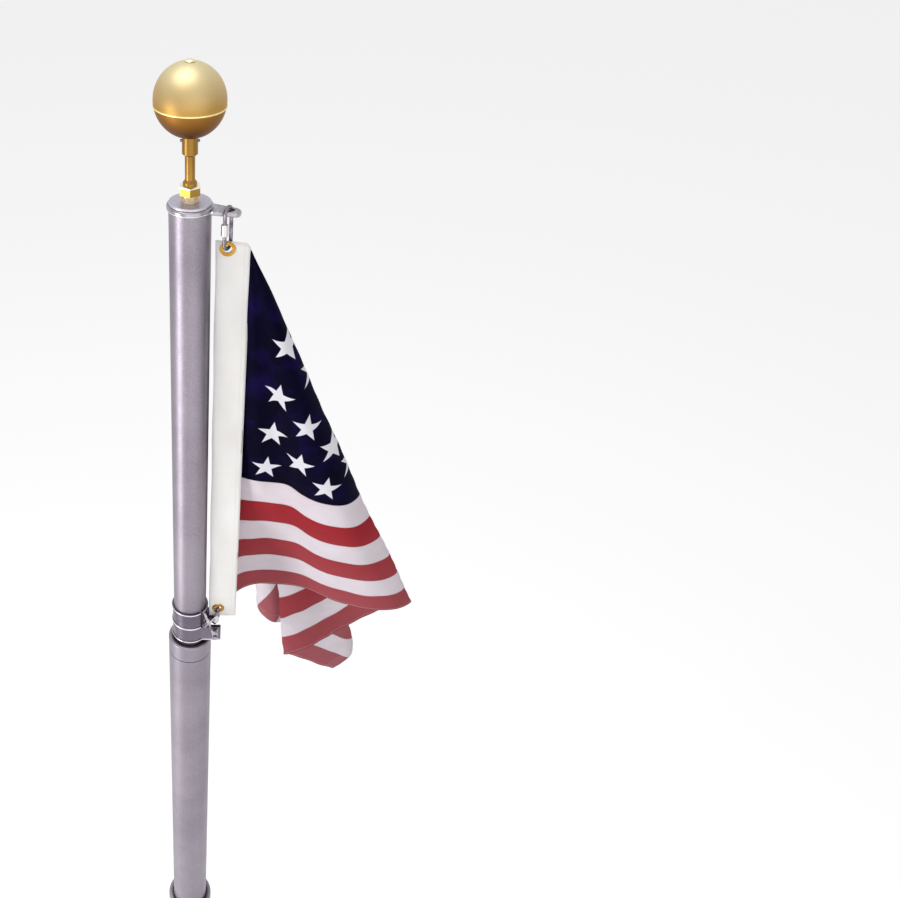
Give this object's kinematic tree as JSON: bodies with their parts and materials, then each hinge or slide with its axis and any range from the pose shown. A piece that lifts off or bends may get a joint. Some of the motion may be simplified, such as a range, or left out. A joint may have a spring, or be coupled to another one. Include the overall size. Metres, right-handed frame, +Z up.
{
  "type": "telescoping flagpole",
  "caption": "Telescoping round aluminium flagpole with guide collars, lock buttons, swivel ring, ball finial and a hanging striped flag with a starred canton.",
  "frame": {"origin": "centre of the base's bottom face, at ground level", "axes": "+Z up along the pole, +X towards the arm and the flag's header, -Y is the side the picture looks from"},
  "size_m": [0.393, 0.3918, 3.6373],
  "materials": {
    "brushed_tube": "finely brushed",
    "guide_collar": "satin",
    "cap_metal": "satin",
    "dark_plastic": "matte",
    "button_steel": "turned",
    "gold_stem": "polished",
    "boss_metal": "satin",
    "gold_ball": "satin gold",
    "cast_silver": "polished cast",
    "link_steel": "bright zinc",
    "band_metal": "rolled",
    "grommet_brass": "polished",
    "header_canvas": "canvas",
    "flag_fabric": "woven nylon"
  },
  "bodies": {
    "base": {"base_plug": "dark_plastic", "base_tube": "brushed_tube", "base_guide_collar": "guide_collar"},
    "lower_button": {"lower_lock_button": "button_steel"},
    "middle": {"middle_tube": "brushed_tube", "middle_foot_bushing": "dark_plastic", "middle_guide_collar": "guide_collar"},
    "upper_button": {"upper_lock_button": "button_steel"},
    "top": {"top_tube": "brushed_tube", "top_foot_bushing": "dark_plastic", "lower_stop_ring": "dark_plastic", "top_cap": "cap_metal", "spindle_boss": "boss_metal", "spindle_nut": "gold_stem", "ball_spindle": "gold_stem", "ball_collar": "gold_stem", "collar_screws": "link_steel", "ball_lower_half": "gold_ball", "ball_upper_half": "gold_ball", "ball_top_plug": "boss_metal"},
    "flag": {"upper_swivel_ring": "cast_silver", "upper_link": "link_steel", "upper_link_sleeve": "link_steel", "flag_header": "header_canvas", "upper_grommet": "grommet_brass", "lower_grommet": "grommet_brass", "flag_cloth": "flag_fabric", "lower_link": "link_steel", "lower_link_sleeve": "link_steel", "lower_swivel_band": "band_metal", "lower_clamp_band": "band_metal", "clamp_bolts": "link_steel", "clamp_nuts": "link_steel", "cross_clip": "link_steel"}
  },
  "joints": [
    {"name": "middle_slide", "type": "slide", "parent": "base", "child": "middle", "axis": [0, 0, 1], "range_m": [-0.68, 1.05]},
    {"name": "top_slide", "type": "slide", "parent": "middle", "child": "top", "axis": [0, 0, 1], "range_m": [0, 1.14]},
    {"name": "flag_swivel", "type": "hinge", "parent": "top", "child": "flag", "pos_m": [0, 0, 2.8], "axis": [0, 0, 1], "continuous": true},
    {"name": "lower_button_press", "type": "slide", "parent": "base", "child": "lower_button", "axis": [-0.5, -0.866, 0], "range_m": [0, 0.003], "stiffness_N_per_m": 800, "springref_m": -0.003},
    {"name": "upper_button_press", "type": "slide", "parent": "middle", "child": "upper_button", "axis": [-0.5, -0.866, 0], "range_m": [0, 0.003], "stiffness_N_per_m": 800, "springref_m": -0.003}
  ]
}
